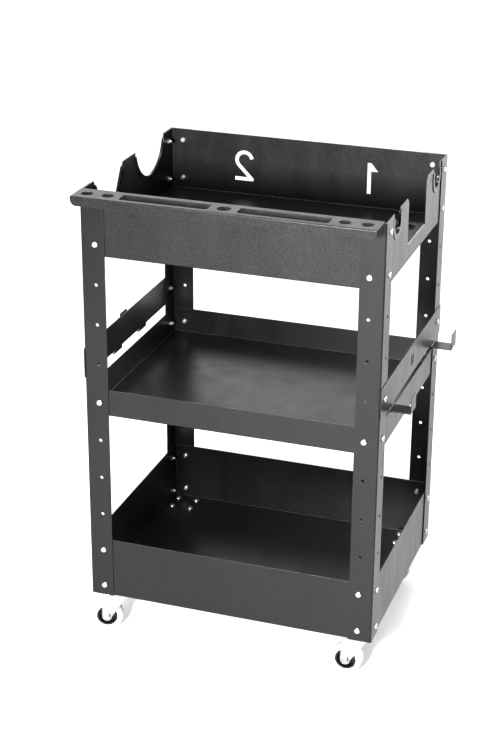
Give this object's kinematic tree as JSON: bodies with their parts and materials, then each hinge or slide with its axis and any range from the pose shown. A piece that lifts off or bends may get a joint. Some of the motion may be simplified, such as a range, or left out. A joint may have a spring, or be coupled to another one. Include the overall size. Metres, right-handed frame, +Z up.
{
  "type": "tool cart",
  "caption": "Open sheet-steel tool cart: perforated angle posts, stacked trays, a tool ledge, notched top walls, side hook rails and swivel casters.",
  "frame": {"origin": "on the floor, in the middle of the cart's outline", "axes": "+Z up, +X to the right as seen from the tool ledge, +Y from the ledge to the back panel"},
  "size_m": [0.69, 0.5354, 0.974],
  "materials": {
    "post_paint": "fine-textured satin powder coat",
    "tray_paint": "fine-textured satin powder coat",
    "rail_paint": "fine-textured satin powder coat",
    "edge_rubber": "smooth extruded rubber",
    "plate_zinc": "bright zinc plated",
    "fork_zinc": "bright zinc plated",
    "axle_zinc": "zinc plated",
    "ball_steel": "polished",
    "wheel_plastic": "moulded, matt",
    "tyre_rubber": "off-white solid rubber",
    "nut_zinc": "zinc plated",
    "screw_zinc": "bright zinc plated"
  },
  "bodies": {
    "frame": {"post_front_left": "post_paint", "post_front_right": "post_paint", "post_back_left": "post_paint", "post_back_right": "post_paint", "tray_top": "tray_paint", "tray_middle": "tray_paint", "tray_bottom": "tray_paint", "edge_trim_left_gap": "edge_rubber", "edge_trim_left_notch": "edge_rubber", "edge_trim_right_front": "edge_rubber", "edge_trim_right_back": "edge_rubber", "rail_left": "rail_paint", "rail_right": "rail_paint", "top_tray_screws": "screw_zinc", "top_tray_nuts": "nut_zinc", "middle_tray_screws": "screw_zinc", "middle_tray_nuts": "nut_zinc", "bottom_tray_screws": "screw_zinc", "bottom_tray_nuts": "nut_zinc", "rail_screws": "screw_zinc", "rail_nuts": "nut_zinc", "caster_screws": "screw_zinc", "caster_nuts": "nut_zinc", "caster_plate_front_left": "plate_zinc", "caster_plate_front_right": "plate_zinc", "caster_plate_back_left": "plate_zinc", "caster_plate_back_right": "plate_zinc", "kingpins": "axle_zinc", "swivel_balls": "ball_steel"},
    "swivel_front_left": {"fork_front_left": "fork_zinc", "axle_front_left": "axle_zinc", "axle_nut_front_left": "axle_zinc"},
    "rolling_front_left": {"wheel_front_left": "wheel_plastic", "tyre_front_left": "tyre_rubber"},
    "swivel_front_right": {"fork_front_right": "fork_zinc", "axle_front_right": "axle_zinc", "axle_nut_front_right": "axle_zinc"},
    "rolling_front_right": {"wheel_front_right": "wheel_plastic", "tyre_front_right": "tyre_rubber"},
    "swivel_back_left": {"fork_back_left": "fork_zinc", "axle_back_left": "axle_zinc", "axle_nut_back_left": "axle_zinc"},
    "rolling_back_left": {"wheel_back_left": "wheel_plastic", "tyre_back_left": "tyre_rubber"},
    "swivel_back_right": {"fork_back_right": "fork_zinc", "axle_back_right": "axle_zinc", "axle_nut_back_right": "axle_zinc"},
    "rolling_back_right": {"wheel_back_right": "wheel_plastic", "tyre_back_right": "tyre_rubber"}
  },
  "joints": [
    {"name": "front_left_swivel", "type": "hinge", "parent": "frame", "child": "swivel_front_left", "pos_m": [-0.2615, -0.17165, 0.085], "axis": [0, 0, 1], "continuous": true},
    {"name": "front_left_roll", "type": "hinge", "parent": "swivel_front_left", "child": "rolling_front_left", "pos_m": [-0.28178, -0.17708, 0.0325], "axis": [-0.2588, 0.9659, 0], "continuous": true},
    {"name": "front_right_swivel", "type": "hinge", "parent": "frame", "child": "swivel_front_right", "pos_m": [0.2615, -0.17165, 0.085], "axis": [0, 0, 1], "continuous": true},
    {"name": "front_right_roll", "type": "hinge", "parent": "swivel_front_right", "child": "rolling_front_right", "pos_m": [0.2405, -0.17165, 0.0325], "axis": [0, 1, 0], "continuous": true},
    {"name": "back_left_swivel", "type": "hinge", "parent": "frame", "child": "swivel_back_left", "pos_m": [-0.2615, 0.22235, 0.085], "axis": [0, 0, 1], "continuous": true},
    {"name": "back_left_roll", "type": "hinge", "parent": "swivel_back_left", "child": "rolling_back_left", "pos_m": [-0.2825, 0.22235, 0.0325], "axis": [0, 1, 0], "continuous": true},
    {"name": "back_right_swivel", "type": "hinge", "parent": "frame", "child": "swivel_back_right", "pos_m": [0.2615, 0.22235, 0.085], "axis": [0, 0, 1], "continuous": true},
    {"name": "back_right_roll", "type": "hinge", "parent": "swivel_back_right", "child": "rolling_back_right", "pos_m": [0.2405, 0.22235, 0.0325], "axis": [0, 1, 0], "continuous": true}
  ]
}
